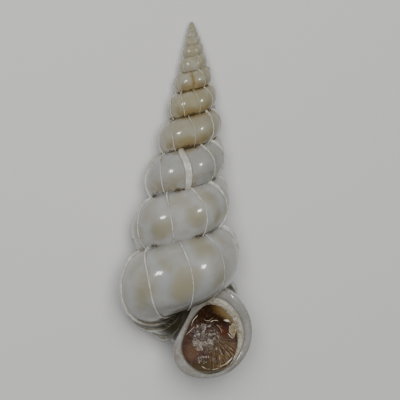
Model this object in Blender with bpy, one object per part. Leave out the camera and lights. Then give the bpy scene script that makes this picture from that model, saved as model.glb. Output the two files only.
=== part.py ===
"""A wentletrap shell lying on its back, with the dried lid of its animal in the mouth.

The shell is one tube that winds round an axis and widens as it grows, so that each turn
rests on the one before. Thin ribs stand across it, each one an old edge of the mouth.
Turns are counted back from the mouth towards the tip. In the shell's own frame the axis
is Z with the tip at the top, X is to the right and Y is away from whoever faces the mouth.
"""
import math

import bmesh
import bpy
from mathutils import Matrix, Vector

MM = 0.001

# The spiral: the tube's outside shrinks from the mouth to the tip, and rises with it.
MOUTH_RADIUS = 7.47 * MM
RADIUS_SHRINK = 0.2063
RADIUS_SHRINK_GROWTH = 0.0045
MOUTH_DEPTH = 32.63 * MM
DEPTH_SHRINK = 0.2406
DEPTH_SHRINK_GROWTH = 0.0070
MOUTH_DROP = 1.0 * MM
DROP_TURNS = 0.5
DROP_EASE = 1.2
TURNS = 11.0
TIP_DEPTH = 0.15 * MM
MOUTH_AZIMUTH = 90.0

# The axis isn't quite straight: it bows to the left below, and sways a little on the way.
AXIS_BOW = 1.4
AXIS_SWAY = 0.29 * MM
SWAY_START = 14.0 * MM
SWAY_LENGTH = 27.0 * MM

# The tube's section, as shares of the spiral's radius there.
TUBE_HALF_WIDTH = 0.545
TUBE_RISE = 0.67
TUBE_FALL = 0.573
CHINK_ANGLE = -132.0
CHINK_DEPTH = 32.0 * MM

# The surface is laid out in columns along the tube and rows across it.
COLUMNS_PER_TURN = 35
COLUMNS_PER_RIB = 4
ROWS = 9
BASE_ROWS = 5
LEAN_COLUMNS = 2
LEAN_EASE = 2.6

# The ribs, and the one thick rib that marks an old rest in the growth.
RIB_HEIGHT = 0.045
RIB_FOOT = 0.30
THICK_RIB = 24
THICK_RIB_HEIGHT = 0.075
THICK_RIB_FOOT = 0.62

# The lip is a thick ring round the mouth, and the lid lies in a shallow recess inside it.
LIP_STATIONS = 32
LIP_SIDES = 8
LIP_OUT = 0.38 * MM
LIP_IN = 0.95 * MM
LIP_IN_RIGHT = 0.25 * MM
LIP_IN_TOP = 0.40 * MM
LIP_HALF_THICK = 0.42 * MM
LIP_LEAN = 20.0
LIP_LEAN_POWER = 4
RECESS_FRONT = 0.7 * MM
RECESS_BACK = 0.75 * MM
LID_GAP = 0.2 * MM
LID_THICK = 0.35 * MM
LID_DOME = 0.12 * MM
LID_SLOPE = 1.2 * MM

# How the shell lies: turned on its own axis, then with the axis dipping to the tip.
REST_ROLL = -13.42
REST_DIP = 11.33

SHELL_COLOUR = (0.52, 0.50, 0.44)
SHELL_ROUGHNESS = 0.25
LID_COLOUR = (0.12, 0.05, 0.02)
LID_ROUGHNESS = 0.55


def clear_scene():
    for item in list(bpy.data.objects):
        bpy.data.objects.remove(item, do_unlink=True)


def material(name, colour, roughness):
    result = bpy.data.materials.new(name)
    result.use_nodes = True
    shader = result.node_tree.nodes["Principled BSDF"]
    shader.inputs["Base Color"].default_value = (*colour, 1.0)
    shader.inputs["Roughness"].default_value = roughness
    shader.inputs["Metallic"].default_value = 0.0
    return result


def spiral_radius(turns):
    """From the axis to the outside of the tube."""
    return MOUTH_RADIUS * math.exp(-RADIUS_SHRINK * turns - RADIUS_SHRINK_GROWTH * turns ** 2)


def spiral_depth(turns):
    """From the tip down to the middle of the tube, which drops a little as it nears the mouth."""
    depth = MOUTH_DEPTH * math.exp(-DEPTH_SHRINK * turns - DEPTH_SHRINK_GROWTH * turns ** 2)
    return depth + MOUTH_DROP * max(0.0, 1.0 - turns / DROP_TURNS) ** DROP_EASE


def tube_section(turns, angle):
    """The tube's middle (out, up) and its half width and half height on the side of the angle."""
    radius = spiral_radius(turns)
    half_width = TUBE_HALF_WIDTH * radius
    half_height = (TUBE_RISE if angle > 0 else TUBE_FALL) * radius
    return radius - half_width, -spiral_depth(turns), half_width, half_height


def section_point(turns, angle, raised=0.0):
    """Distance from the axis and height of a point of the tube's outside."""
    out, up, half_width, half_height = tube_section(turns, angle)
    return (out + (half_width + raised) * math.cos(angle),
            up + (half_height + raised) * math.sin(angle))


def upper_seam_angle(turns):
    """The angle at which the tube meets the underside of the turn before it."""
    low, high = math.radians(10.0), math.radians(100.0)
    for _ in range(30):
        angle = (low + high) / 2
        across, height = section_point(turns, angle)
        out, up, half_width, half_height = tube_section(turns + 1, -1.0)
        if ((across - out) / half_width) ** 2 + ((height - up) / half_height) ** 2 < 1.0:
            high = angle
        else:
            low = angle
    return low


def lower_seam_angle(turns):
    """The angle, on this turn's own section, at which the next turn begins."""
    across, height = section_point(turns - 1, upper_seam_angle(turns - 1))
    out, up, half_width, half_height = tube_section(turns, -1.0)
    return math.atan2((height - up) / half_height, (across - out) / half_width)


def place(turns, across, height):
    """A point in the shell's own frame."""
    azimuth = math.radians(MOUTH_AZIMUTH) + math.tau * turns
    sway = AXIS_SWAY * math.sin(math.tau * (height + SWAY_START) / SWAY_LENGTH)
    axis = sway - AXIS_BOW * height ** 2
    return Vector((axis + across * math.sin(azimuth), -across * math.cos(azimuth), height))


def lay_down(point):
    """Turn the shell on its axis, lay it on its back, and let the axis dip to the tip."""
    turn = Matrix.Rotation(math.radians(REST_ROLL), 3, "Z")
    lay = Matrix.Rotation(math.radians(-90.0 - REST_DIP), 3, "X")
    return lay @ (turn @ point)


def surface_point(column, row):
    """A point of the outside, with the rib that crosses it if one does."""
    first_lap = COLUMNS_PER_TURN - LEAN_COLUMNS
    open_below = column < first_lap
    on_seam = row == 0 or (row == ROWS and not open_below)

    rib, step = divmod(column, COLUMNS_PER_RIB)
    thick = THICK_RIB in (rib, rib + (step == COLUMNS_PER_RIB - 1))
    foot = THICK_RIB_FOOT if thick else RIB_FOOT
    shift = 0.0
    if step == 1 and not on_seam:
        shift = foot - 1.0
    if step == COLUMNS_PER_RIB - 1 and not on_seam:
        shift = 1.0 - foot

    share = min(row / ROWS, 1.0)
    lean = LEAN_COLUMNS * (1.0 - share) ** LEAN_EASE
    turns = (column + shift - lean) / COLUMNS_PER_TURN
    top = upper_seam_angle((column - LEAN_COLUMNS) / COLUMNS_PER_TURN)
    bottom = lower_seam_angle(max(column, first_lap) / COLUMNS_PER_TURN)
    angle = top + (bottom - top) * share
    if row > ROWS:
        inward = (row - ROWS) / BASE_ROWS
        angle = bottom + (math.radians(CHINK_ANGLE) - bottom) * inward

    raised = 0.0
    if step == 0 and not on_seam:
        height = THICK_RIB_HEIGHT if rib == THICK_RIB else RIB_HEIGHT
        raised = height * spiral_radius(turns)
    if row == ROWS + BASE_ROWS:
        raised = 0.0
    return place(turns, *section_point(turns, angle, raised))


def make_object(name, points, faces, look):
    """A closed mesh, laid down, with its faces pointing out."""
    mesh = bpy.data.meshes.new(name)
    mesh.from_pydata([lay_down(point) for point in points], [], faces)
    work = bmesh.new()
    work.from_mesh(mesh)
    bmesh.ops.recalc_face_normals(work, faces=work.faces)
    work.to_mesh(mesh)
    work.free()
    mesh.materials.append(look)
    result = bpy.data.objects.new(name, mesh)
    bpy.context.collection.objects.link(result)
    return result


def make_whorls(look):
    """The tube as one skin: each row of points on a seam belongs to both turns that meet there."""
    lap = COLUMNS_PER_TURN - LEAN_COLUMNS
    last = round(TURNS * COLUMNS_PER_TURN)
    points = []
    index = {}
    for column in range(last + 1):
        rows = ROWS + BASE_ROWS if column <= lap else ROWS
        for row in range(rows + 1):
            if row == ROWS and column >= lap:
                index[column, row] = index[column - lap, 0]
                continue
            index[column, row] = len(points)
            points.append(surface_point(column, row))

    faces = []
    for column in range(last):
        rows = ROWS + BASE_ROWS if column < lap else ROWS
        for row in range(rows):
            faces.append((index[column, row], index[column + 1, row],
                          index[column + 1, row + 1], index[column, row + 1]))

    tip = len(points)
    points.append(place(0.0, 0.0, -TIP_DEPTH))
    tip_edge = [index[column, 0] for column in range(last - lap, last + 1)]
    tip_edge += [index[last, row] for row in range(1, ROWS)]
    for start, end in zip(tip_edge, tip_edge[1:] + tip_edge[:1]):
        faces.append((start, end, tip))

    chink = len(points)
    points.append(place(0.0, 0.0, -CHINK_DEPTH))
    inner = ROWS + BASE_ROWS
    chink_edge = [index[column, inner] for column in range(lap + 1)]
    for start, end in zip(chink_edge, chink_edge[1:]):
        faces.append((start, end, chink))

    middle = len(points)
    out, up, _, _ = tube_section(0.0, 0.0)
    points.append(place(0.0, out, up))
    mouth_edge = [index[0, row] for row in range(inner + 1)] + [chink]
    mouth_edge += [index[lap, row] for row in range(inner, ROWS, -1)]
    for start, end in zip(mouth_edge, mouth_edge[1:] + mouth_edge[:1]):
        faces.append((start, end, middle))
    return make_object("shell", points, faces, look)


def mouth_frame(angle, inset):
    """A point on the mouth's rim, the way out from the tube's middle, and the way of growth."""
    lean = LIP_LEAN / 360.0 * ((1.0 + math.sin(angle)) / 2) ** LIP_LEAN_POWER
    across, height = section_point(0.0, angle, -inset)
    further = section_point(0.0, angle, 1.0 * MM - inset)
    rim = place(-lean, across, height)
    outward = (place(-lean, *further) - rim).normalized()
    azimuth = math.radians(MOUTH_AZIMUTH) - math.tau * lean
    forward = Vector((-math.cos(azimuth), -math.sin(azimuth), 0.0))
    return rim, outward, forward


def station_angles():
    return [math.tau * station / LIP_STATIONS - math.pi for station in range(LIP_STATIONS)]


def loft(name, loops, look, ring=False):
    """Skin a list of equal loops of points: round and closed on itself, or with flat ends."""
    count = len(loops[0])
    points = [point for loop in loops for point in loop]
    faces = []
    laps = len(loops) if ring else len(loops) - 1
    for lap in range(laps):
        here = lap * count
        there = (lap + 1) % len(loops) * count
        for side in range(count):
            other = (side + 1) % count
            faces.append((here + side, here + other, there + other, there + side))
    if not ring:
        for loop in (0, len(loops) - 1):
            middle = len(points)
            points.append(sum(loops[loop], Vector()) / count)
            start = loop * count
            for side in range(count):
                faces.append((start + side, start + (side + 1) % count, middle))
    return make_object(name, points, faces, look)


def lip_inset(angle):
    """How far the lip reaches in: the most at the upper right, the least at the lower left."""
    return LIP_IN + LIP_IN_RIGHT * math.cos(angle) + LIP_IN_TOP * math.sin(angle)


def make_lip(look):
    loops = []
    for angle in station_angles():
        centre = (LIP_OUT - lip_inset(angle)) / 2
        half_wide = (LIP_OUT + lip_inset(angle)) / 2
        rim, outward, forward = mouth_frame(angle, 0.0)
        loop = []
        for side in range(LIP_SIDES):
            around = math.tau * (side + 0.5) / LIP_SIDES
            loop.append(rim + outward * (centre + half_wide * math.cos(around))
                        + forward * LIP_HALF_THICK * math.sin(around))
        loops.append(loop)
    return loft("lip_ring", loops, look, ring=True)


def mouth_loop(inset, forward_by):
    """A loop at a distance inside the lip, moved along the way of growth."""
    loop = []
    for angle in station_angles():
        rim, _, forward = mouth_frame(angle, lip_inset(angle) + inset)
        loop.append(rim + forward * forward_by)
    return loop


def make_recess(look):
    loops = [mouth_loop(0.0, RECESS_FRONT), mouth_loop(0.0, -RECESS_BACK)]
    return loft("mouth_recess", loops, look)


def make_lid(look):
    """A thin horny plate with a low dome, clear of the recess all round."""
    back = -RECESS_BACK + LID_GAP
    front = back + LID_THICK
    loops = [
        mouth_loop(LID_GAP, back),
        mouth_loop(LID_GAP, front),
        mouth_loop(LID_GAP + LID_SLOPE, front + LID_DOME),
    ]
    return loft("operculum", loops, look)


def combine(target, tool, operation):
    tool.hide_render = True
    tool.display_type = "WIRE"
    modifier = target.modifiers.new(tool.name, "BOOLEAN")
    modifier.operation = operation
    modifier.solver = "EXACT"
    modifier.object = tool


def stand_on_floor(pieces, tools):
    """Move everything so that the lowest point is at zero, and the box is centred over the origin."""
    bpy.context.view_layer.update()
    graph = bpy.context.evaluated_depsgraph_get()
    corners = []
    for piece in pieces:
        mesh = piece.evaluated_get(graph).to_mesh()
        corners += [vertex.co.copy() for vertex in mesh.vertices]
    low = Vector([min(corner[axis] for corner in corners) for axis in range(3)])
    high = Vector([max(corner[axis] for corner in corners) for axis in range(3)])
    shift = Vector((-(low.x + high.x) / 2, -(low.y + high.y) / 2, -low.z))
    for item in pieces + tools:
        item.location = shift


clear_scene()
shell_look = material("shell_lime", SHELL_COLOUR, SHELL_ROUGHNESS)
lid_look = material("dry_horn", LID_COLOUR, LID_ROUGHNESS)
shell = make_whorls(shell_look)
lip_ring = make_lip(shell_look)
mouth_recess = make_recess(shell_look)
operculum = make_lid(lid_look)
combine(shell, lip_ring, "UNION")
combine(shell, mouth_recess, "DIFFERENCE")
stand_on_floor([shell, operculum], [lip_ring, mouth_recess])
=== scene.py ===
"""The wentletrap shell as it looks: glossy whorls with thin ribs, a thick lip and a dried lid."""
import math

import bmesh
import bpy
from mathutils import Matrix, Vector, noise
from mathutils.bvhtree import BVHTree


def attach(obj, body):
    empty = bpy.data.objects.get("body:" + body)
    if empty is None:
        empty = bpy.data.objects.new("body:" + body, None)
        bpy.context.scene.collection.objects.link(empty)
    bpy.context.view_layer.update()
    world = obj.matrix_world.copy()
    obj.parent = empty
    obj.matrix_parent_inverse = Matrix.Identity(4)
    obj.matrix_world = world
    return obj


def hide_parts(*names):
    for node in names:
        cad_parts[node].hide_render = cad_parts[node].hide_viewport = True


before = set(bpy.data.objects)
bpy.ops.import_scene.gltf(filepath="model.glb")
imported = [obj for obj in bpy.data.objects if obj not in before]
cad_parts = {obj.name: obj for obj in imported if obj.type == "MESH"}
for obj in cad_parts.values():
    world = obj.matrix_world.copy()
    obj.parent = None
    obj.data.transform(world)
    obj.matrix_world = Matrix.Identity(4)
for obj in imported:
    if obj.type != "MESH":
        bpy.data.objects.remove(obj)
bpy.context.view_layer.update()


# The whorls: one lime tube, coiled to the right round a slightly bent axis, each turn resting
# on the one before. The animal laid it down in thin glossy layers, clouded with tan, and old
# mud still sits in the seams between the turns.
MM = 0.001
SHELL_SIZES = {
    "Mouth radius": 7.47 * MM,
    "Mouth depth": 32.63 * MM,
    "Mouth drop": 1.0 * MM,
    "Axis bow": 1.4,
    "Axis sway": 0.29 * MM,
}
RADIUS_SHRINK = 0.2063
RADIUS_SHRINK_GROWTH = 0.0045
DEPTH_SHRINK = 0.2406
DEPTH_SHRINK_GROWTH = 0.0070
DROP_TURNS = 0.5
DROP_EASE = 1.2
SWAY_START = 14.0 * MM
SWAY_LENGTH = 27.0 * MM
MOUTH_AZIMUTH = 90.0
TUBE_HALF_WIDTH = 0.545
TUBE_RISE = 0.67
TUBE_FALL = 0.573
LIP_LEAN = 20.0
RIB_LEAN = 25.0
LEAN_POWER = 4
FLAT_DEPTH = 1.05 * MM
FLAT_BEARING = 152.0
FLAT_POWER = 3
FLAT_TURNS = 0.4
TIP_DEPTH = 0.15 * MM
REST_ROLL = -13.42
REST_DIP = 11.33
RIB_STEP = 4 / 35
WELD_GAP = 0.0001 * MM
LIGHT_REACH = (1.0, 0.9, 0.7)


class Wire:
    """A socket of a node tree. Sums and products of wires add the tree's Math nodes."""

    def __init__(self, net, socket):
        self.net = net
        self.socket = socket

    def also(self, name):
        return Wire(self.net, pick(self.socket.node.outputs, name))

    def __add__(self, other):
        return calc("ADD", self, other)

    def __sub__(self, other):
        return calc("SUBTRACT", self, other)

    def __mul__(self, other):
        return calc("MULTIPLY", self, other)

    def __truediv__(self, other):
        return calc("DIVIDE", self, other)

    def __pow__(self, other):
        return calc("POWER", self, other)

    def __gt__(self, other):
        return calc("GREATER_THAN", self, other)

    def __neg__(self):
        return calc("MULTIPLY", self, -1.0)

    def __rsub__(self, other):
        return calc("SUBTRACT", other, self)

    def __rtruediv__(self, other):
        return calc("DIVIDE", other, self)

    __radd__ = __add__
    __rmul__ = __mul__


class Net:
    """A node tree under construction. Every node comes from add."""

    def __init__(self, tree):
        self.tree = tree
        self.place = None

    def add(self, kind, settings=None, inputs=None, output=0):
        node = self.tree.nodes.new(kind)
        for name, value in (settings or {}).items():
            setattr(node, name, value)
        for name, value in (inputs or {}).items():
            self.feed(pick(node.inputs, name), value)
        if node.outputs:
            return Wire(self, pick(node.outputs, output))

    def feed(self, socket, value):
        if isinstance(value, Wire):
            self.tree.links.new(value.socket, socket)
        else:
            socket.default_value = value

    def mix(self, share, first, second):
        settings = {"data_type": "RGBA", "clamp_factor": True}
        inputs = {"Factor": share, "A": first, "B": second}
        return self.add("ShaderNodeMix", settings, inputs, "Result")


def pick(sockets, name):
    """A socket by its number, or the one of that name that is in use."""
    if isinstance(name, int):
        return sockets[name]
    return next(socket for socket in sockets if socket.name == name and socket.enabled)


def calc(operation, *values):
    net = next(value.net for value in values if isinstance(value, Wire))
    return net.add("ShaderNodeMath", {"operation": operation}, dict(enumerate(values)))


def sine(angle):
    return calc("SINE", angle) if isinstance(angle, Wire) else math.sin(angle)


def cosine(angle):
    return calc("COSINE", angle) if isinstance(angle, Wire) else math.cos(angle)


def exponent(value):
    return calc("EXPONENT", value) if isinstance(value, Wire) else math.exp(value)


def at_least(low, value):
    return calc("MAXIMUM", value, low) if isinstance(value, Wire) else max(low, value)


def between(value, low, high):
    """0 below low, 1 above high, and a soft slope between."""
    settings = {"clamp": True, "interpolation_type": "SMOOTHSTEP"}
    inputs = {"Value": value, "From Min": low, "From Max": high}
    return value.net.add("ShaderNodeMapRange", settings, inputs)


def outside(value, low, high):
    """1 below low, 0 above high, and a soft slope between."""
    return 1.0 - between(value, low, high)


def spiral_radius(turns, sizes):
    """From the axis to the outside of the tube, turns back from the mouth."""
    return sizes["Mouth radius"] * exponent(turns * (turns * -RADIUS_SHRINK_GROWTH - RADIUS_SHRINK))


def spiral_depth(turns, sizes):
    """From the tip down to the tube's middle, which drops a little as it nears the mouth."""
    depth = sizes["Mouth depth"] * exponent(turns * (turns * -DEPTH_SHRINK_GROWTH - DEPTH_SHRINK))
    return depth + sizes["Mouth drop"] * at_least(0.0, 1.0 - turns / DROP_TURNS) ** DROP_EASE


def section_point(turns, angle, raised, sizes):
    """Distance from the axis, and height, of a point on the tube at an angle up from level."""
    radius = spiral_radius(turns, sizes)
    up = sine(angle)
    rise = TUBE_FALL + (TUBE_RISE - TUBE_FALL) * (up > 0.0)
    half_width = radius * TUBE_HALF_WIDTH
    across = radius - half_width + (half_width + raised) * cosine(angle)
    height = (radius * rise + raised) * up - spiral_depth(turns, sizes)
    return across, height


def pressed_in(turns, angle):
    """How far the tube is pressed flat near the mouth, on the side that meets the turn before."""
    facing = at_least(0.0, cosine(angle - math.radians(FLAT_BEARING))) ** FLAT_POWER
    return facing * at_least(0.0, 1.0 - turns / FLAT_TURNS) * FLAT_DEPTH


def azimuth_at(turns):
    return turns * math.tau + math.radians(MOUTH_AZIMUTH)


def axis_offset(height, sizes):
    """How far the bent axis stands to the side at a height."""
    sway = sizes["Axis sway"] * sine((height + SWAY_START) * (math.tau / SWAY_LENGTH))
    return sway - sizes["Axis bow"] * height * height


def lean_turns(angle, lean):
    """How far an old mouth edge runs ahead at the upper seam, in turns for a lean in degrees."""
    return (0.5 + 0.5 * sine(angle)) ** LEAN_POWER * (lean / 360.0)


def place(turns, across, height):
    """A point in the shell's own frame: tip up, X to the right, Y away from the mouth side."""
    azimuth = azimuth_at(turns)
    x = axis_offset(height, SHELL_SIZES) + across * math.sin(azimuth)
    return Vector((x, -across * math.cos(azimuth), height))


def place_wire(net, turns, across, height, sizes):
    azimuth = azimuth_at(turns)
    x = axis_offset(height, sizes) + across * sine(azimuth)
    return net.add("ShaderNodeCombineXYZ", None, {"X": x, "Y": -(across * cosine(azimuth)), "Z": height})


def start_tree(name, sizes):
    """A geometry tree with one named input for each size."""
    tree = bpy.data.node_groups.new(name, "GeometryNodeTree")
    tree.interface.new_socket(name="Geometry", in_out="INPUT", socket_type="NodeSocketGeometry")
    tree.interface.new_socket(name="Geometry", in_out="OUTPUT", socket_type="NodeSocketGeometry")
    for size in sizes:
        tree.interface.new_socket(name=size, in_out="INPUT", socket_type="NodeSocketFloat")
    net = Net(tree)
    start = net.add("NodeGroupInput")
    return net, start, {size: start.also(size) for size in sizes}


def end_tree(net, geometry, material):
    """Instances made real, shaded smooth, with the piece's material."""
    real = net.add("GeometryNodeRealizeInstances", None, {"Geometry": geometry})
    smooth = net.add("GeometryNodeSetShadeSmooth", None, {"Geometry": real})
    painted = net.add("GeometryNodeSetMaterial", None, {"Geometry": smooth, "Material": material})
    net.add("NodeGroupOutput", None, {"Geometry": painted})


def store(net, geometry, name, value):
    settings = {"data_type": "FLOAT", "domain": "POINT"}
    inputs = {"Geometry": geometry, "Name": name, "Value": value}
    return net.add("GeometryNodeStoreNamedAttribute", settings, inputs)


def recall(net, name):
    settings = {"data_type": "FLOAT"}
    return net.add("GeometryNodeInputNamedAttribute", settings, {"Name": name}, "Attribute")


def weld(net, geometry):
    return net.add("GeometryNodeMergeByDistance", None, {"Geometry": geometry, "Distance": WELD_GAP})


def move_to(net, geometry, position):
    inputs = {"Geometry": geometry, "Position": position}
    return net.add("GeometryNodeSetPosition", None, inputs)


def lying_place():
    """The turn and shift that lay the shell down with its tip on the solid's tip."""
    turn = Matrix.Rotation(math.radians(REST_ROLL), 4, "Z")
    lay = Matrix.Rotation(math.radians(-90.0 - REST_DIP), 4, "X") @ turn
    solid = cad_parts["shell"].data
    solid_tip = max((vertex.co for vertex in solid.vertices), key=lambda point: point.y)
    tip = lay @ place(0.0, 0.0, -TIP_DEPTH)
    return Matrix.Translation(solid_tip - tip) @ lay


LYING = lying_place()


def add_piece(name, mesh, replaced=None):
    """Lay a finished mesh down in the frame as a piece of the shell."""
    mesh.transform(LYING)
    piece = bpy.data.objects.new(name, mesh)
    bpy.context.scene.collection.objects.link(piece)
    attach(piece, "root")
    if replaced:
        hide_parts(replaced)
    return piece


def grow(net, sizes, seed_mesh=None):
    """Run a geometry tree on a seed and keep the result as a plain mesh."""
    seed = bpy.data.objects.new("seed", seed_mesh or bpy.data.meshes.new("seed"))
    bpy.context.scene.collection.objects.link(seed)
    modifier = seed.modifiers.new("grow", "NODES")
    modifier.node_group = net.tree
    for item in net.tree.interface.items_tree:
        if item.in_out == "INPUT" and item.name in sizes:
            modifier[item.identifier] = sizes[item.name]
    graph = bpy.context.evaluated_depsgraph_get()
    grown = seed.evaluated_get(graph)
    mesh = bpy.data.meshes.new_from_object(grown, preserve_all_data_layers=True, depsgraph=graph)
    bpy.data.objects.remove(seed)
    return mesh


def new_material(name):
    material = bpy.data.materials.new(name)
    material.use_nodes = True
    net = Net(material.node_tree)
    net.place = net.add("ShaderNodeTexCoord", None, None, "Object")
    return material, net, material.node_tree.nodes["Principled BSDF"]


def noise_wire(net, scale, detail=3.0, rough=0.5, place_of=None):
    """Noise from 0 to 1: over the piece, with that many cells in a metre, or over another place."""
    inputs = {"Scale": scale, "Detail": detail, "Roughness": rough, "Vector": place_of or net.place}
    return net.add("ShaderNodeTexNoise", None, inputs)


def paint(net, shader, roughness, colour, layers=()):
    """A colour with others laid over it in turn, each as strong as its share from 0 to 1."""
    for share, over in layers:
        colour = net.mix(share, colour, over)
    net.feed(shader.inputs["Base Color"], colour)
    net.feed(shader.inputs["Roughness"], roughness)


def glow_through(shader, weight, depth):
    """Light that goes a little way into lime before it comes out again."""
    shader.inputs["Subsurface Weight"].default_value = weight
    shader.inputs["Subsurface Radius"].default_value = LIGHT_REACH
    shader.inputs["Subsurface Scale"].default_value = depth


def emboss(net, shader, strength, distance, height):
    inputs = {"Strength": strength, "Distance": distance, "Height": height}
    net.feed(shader.inputs["Normal"], net.add("ShaderNodeBump", None, inputs))


PORCELAIN = (0.330, 0.328, 0.308, 1.0)
PORCELAIN_BLUE = (0.275, 0.280, 0.276, 1.0)
OLD_CREAM = (0.250, 0.229, 0.142, 1.0)
TAN_CLOUD = (0.225, 0.200, 0.115, 1.0)
MUD = (0.050, 0.033, 0.015, 1.0)
RUST = (0.185, 0.120, 0.030, 1.0)
# Painted shade for the underside of the tube, the rib flanks there and the tube behind the lip.
UNDERSIDE_SHADE = (0.100, 0.088, 0.060, 1.0)
# Painted shade and dirt for the deep chink between the lip and the body.
CHINK_SHADE_AND_DIRT = (0.022, 0.018, 0.007, 1.0)
FINE_GRAIN = 1300.0
BROAD_TINT = 170.0
CREAM_PATCHES = 420.0
GRIME_SPECKS = 6400.0
SMEARS = 700.0
CLOUD_DRIFT = 130.0
CLOUD_BLUR = 420.0
CLOUD_STRENGTHS = 330.0
CLOUD_SHIFT = 0.16
UPPER_CLOUD = (0.5, 0.66, 0.46, 0.66)
LOWER_CLOUD = (0.5, -0.16, 0.48, 0.62)
YOUNG_TURNS = (4.5, 7.5)
PALER_TURN = (2.95, 0.55)
BLUER_TURN = (2.8, 0.6)
CREAMY_TURNS = (2.0, 4.6)
ALL_CREAM_TURNS = (3.6, 4.6)
DIRTY_TURNS = ((1.2, 3.4), (6.0, 7.0))
UPPER_TURNS = ((3.2, 4.2), (6.0, 6.8))
CLEAN_TIP = (5.6, 6.8)
LAST_TURN_END = (0.9, 1.3)
MOUTH_SHADE = (0.10, 0.32)
CHINK_REACH = (1.2 * MM, 3.4 * MM)
CHINK_TURNS = (1.2, 1.5)
GROWTH_LINES = 18
RUSTY_RIB_SHIFT = 12.9
RUSTY_RIB = 50 * RIB_STEP + RUSTY_RIB_SHIFT / 360.0
RUSTY_RIB_LEAN = 17.5


def attribute(net, name):
    return net.add("ShaderNodeAttribute", {"attribute_name": name}, None, "Fac")


def spot(across, up, place_across, place_up, half_width, half_height):
    """1 at a place and 0 outside an ellipse round it, with a soft edge."""
    right = (across - place_across) / half_width
    above = (up - place_up) / half_height
    return outside(right * right + above * above, 0.0, 1.0)


def near(value, middle, reach):
    """1 at the middle and 0 further off than the reach, with a soft edge."""
    off = (value - middle) / reach
    return outside(off * off, 0.0, 1.0)


def over_turns(turns, rise, fall):
    """1 on the turns between two soft slopes."""
    return between(turns, *rise) * outside(turns, *fall)


def tan_clouds(net, turns, angle):
    """Two rows of soft tan clouds on each turn, one of each between every two ribs."""
    drift = noise_wire(net, CLOUD_DRIFT, 1.0) - 0.5
    blur = noise_wire(net, CLOUD_BLUR, 4.0, 0.6) - 0.5
    bay = (turns + lean_turns(angle, RIB_LEAN)) / RIB_STEP + drift * 0.7 + blur * 0.35
    tilt = angle + blur * 1.3 + drift * 1.1
    upper = spot(calc("FRACT", bay + CLOUD_SHIFT), tilt, *UPPER_CLOUD)
    lower = spot(calc("FRACT", bay - CLOUD_SHIFT), tilt, *LOWER_CLOUD)
    strength = between(noise_wire(net, CLOUD_STRENGTHS, 1.0), 0.25, 0.62) * 0.62 + 0.24
    young = 1.0 - between(turns, *YOUNG_TURNS) * 0.8
    paler = 1.0 - near(turns, *PALER_TURN) * 0.55
    return calc("MAXIMUM", upper * 0.9, lower) * strength * young * paler


def shell_material():
    material, net, shader = new_material("shell_lime")
    turns = attribute(net, "turns")
    angle = attribute(net, "angle")
    seam = attribute(net, "seam")
    fine = noise_wire(net, FINE_GRAIN, 5.0, 0.6)
    broad = noise_wire(net, BROAD_TINT, 3.0)
    grime = noise_wire(net, GRIME_SPECKS, 6.0, 0.75)
    smears = noise_wire(net, SMEARS, 4.0, 0.6)
    bluer = calc("MAXIMUM", between(broad, 0.35, 0.7), near(turns, *BLUER_TURN))
    patchy = between(noise_wire(net, CREAM_PATCHES, 2.0), 0.36, 0.58) * 0.5 + 0.5
    creamy = calc("MAXIMUM", between(broad, 0.2, 0.6), between(turns, *ALL_CREAM_TURNS) * patchy)

    dirty_turns = over_turns(turns, *DIRTY_TURNS)
    upper_turns = over_turns(turns, *UPPER_TURNS)
    stain = outside(seam, 0.04, 0.42) * between(smears + upper_turns * 0.07, 0.42, 0.58)
    from_rib = calc("ABSOLUTE", turns + lean_turns(angle, RUSTY_RIB_LEAN) - RUSTY_RIB)
    streak = outside(from_rib, 0.004, 0.024) * between(smears, 0.30, 0.50)
    packed = outside(seam, 0.0, 0.16) + (grime - 0.5) * 3.0 + (smears - 0.5) * 2.8
    packed = packed + dirty_turns * 0.40 + upper_turns * 0.10 - between(turns, *CLEAN_TIP) * 0.6
    mud = between(packed, 1.10, 1.45)
    # Painted shade: the underside of the tube and the tube just behind the lip are darkened, with mud
    # specks laid over the underside.
    under = between(-angle, 0.4, 1.5) * outside(turns, *LAST_TURN_END) * 0.85
    shade_by_mouth = outside(turns, *MOUTH_SHADE) * 0.6
    # The chink beside the axis is painted almost black and loses its coat: painted shade of the deep
    # recess, with dirt in it.
    from_axis = attribute(net, "across") + (smears - 0.5) * (2.0 * MM)
    chink = outside(from_axis, *CHINK_REACH) * outside(turns, *CHINK_TURNS)

    paint(net, shader, fine * 0.2 + 0.30 + mud * 0.3, PORCELAIN, [
        (bluer, PORCELAIN_BLUE),
        (between(turns, *CREAMY_TURNS) * creamy * 0.95, OLD_CREAM),
        (between(fine, 0.45, 0.75) * 0.25, OLD_CREAM),
        (tan_clouds(net, turns, angle) * 0.9, TAN_CLOUD),
        (stain * dirty_turns * 0.8, RUST),
        (streak * 0.9, RUST),
        (mud * 0.85, MUD),
        (calc("MAXIMUM", under, shade_by_mouth), UNDERSIDE_SHADE),
        (under * between(grime + smears, 0.98, 1.16) * 0.8, MUD),
        (chink * 0.92, CHINK_SHADE_AND_DIRT),
    ])
    net.feed(shader.inputs["Coat Weight"], (1.0 - mud) * (1.0 - chink))
    shader.inputs["Coat Roughness"].default_value = 0.09
    glow_through(shader, 0.12, 0.5 * MM)
    grown = (turns + lean_turns(angle, RIB_LEAN)) * (math.tau * GROWTH_LINES / RIB_STEP)
    lines = sine(grown + broad * 9.0)
    emboss(net, shader, 0.14, 0.03 * MM, fine * 0.25 + lines * 0.02 + grime * mud * 2.0)
    return material


WHORL_SIZES = SHELL_SIZES | {"Turns": 14.0}
COLUMNS_PER_TURN = 112
ROWS = 52
BAY_SWELL = 0.006
TIP_CLOSING = 0.22


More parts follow.
